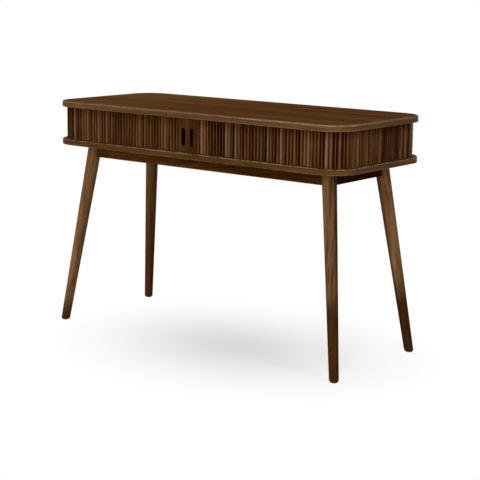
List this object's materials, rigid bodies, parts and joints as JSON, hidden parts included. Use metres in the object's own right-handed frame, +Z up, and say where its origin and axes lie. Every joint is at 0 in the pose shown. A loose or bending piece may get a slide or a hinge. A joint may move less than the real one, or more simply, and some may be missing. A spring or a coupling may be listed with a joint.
{
  "type": "writing desk",
  "caption": "Walnut writing desk: rounded worktop over a shallow case with slatted tambour doors sliding apart from the middle, on splayed round tapered legs with an apron.",
  "frame": {"origin": "middle of the desk's footprint, on the floor", "axes": "+Z up, the front with the doors faces -Y, +X is to the right seen from the front"},
  "size_m": [1.2, 0.5, 0.78],
  "materials": {
    "walnut_veneer": "satin",
    "walnut_edge": "satin",
    "walnut_slats": "satin",
    "walnut_stile": "satin",
    "walnut_frame": "satin",
    "inner_veneer": "matte",
    "brace_wood": "matte",
    "dowel_wood": "matte",
    "canvas": "matte",
    "zinc_steel": "satin",
    "glide_plastic": "matte"
  },
  "bodies": {
    "desk": {"back_liner": "inner_veneer", "back_panel": "walnut_veneer", "back_rail": "walnut_frame", "bottom_lipping": "walnut_edge", "bottom_panel": "walnut_veneer", "brace_screws": "zinc_steel", "carcass_dowels": "dowel_wood", "carcass_screws": "zinc_steel", "centre_divider": "inner_veneer", "desktop_lipping": "walnut_edge", "desktop_panel": "walnut_veneer", "front_left_brace": "brace_wood", "front_left_glide": "glide_plastic", "front_left_leg": "walnut_frame", "front_rail": "walnut_frame", "front_right_brace": "brace_wood", "front_right_glide": "glide_plastic", "front_right_leg": "walnut_frame", "hanger_bolts": "zinc_steel", "hanger_nuts": "zinc_steel", "hanger_washers": "zinc_steel", "left_corner_slats": "walnut_slats", "left_front_canvas": "canvas", "left_front_slats": "walnut_slats", "left_rail": "walnut_frame", "left_rear_cover": "walnut_veneer", "left_return_canvas": "canvas", "left_side_liner": "inner_veneer", "left_side_slats": "walnut_slats", "rail_screws": "zinc_steel", "rear_left_brace": "brace_wood", "rear_left_glide": "glide_plastic", "rear_left_leg": "walnut_frame", "rear_right_brace": "brace_wood", "rear_right_glide": "glide_plastic", "rear_right_leg": "walnut_frame", "right_corner_slats": "walnut_slats", "right_front_canvas": "canvas", "right_front_slats": "walnut_slats", "right_rail": "walnut_frame", "right_rear_cover": "walnut_veneer", "right_return_canvas": "canvas", "right_side_liner": "inner_veneer", "right_side_slats": "walnut_slats"},
    "left_door": {"left_pull_stile": "walnut_stile"},
    "right_door": {"right_pull_stile": "walnut_stile"}
  },
  "joints": [
    {"name": "left_door_slide", "type": "slide", "parent": "desk", "child": "left_door", "axis": [-1, 0, 0], "range_m": [0, 0.4625], "deforming": ["left_front_slats", "left_front_canvas"]},
    {"name": "right_door_slide", "type": "slide", "parent": "desk", "child": "right_door", "axis": [1, 0, 0], "range_m": [0, 0.4625], "deforming": ["right_front_slats", "right_front_canvas"]}
  ]
}
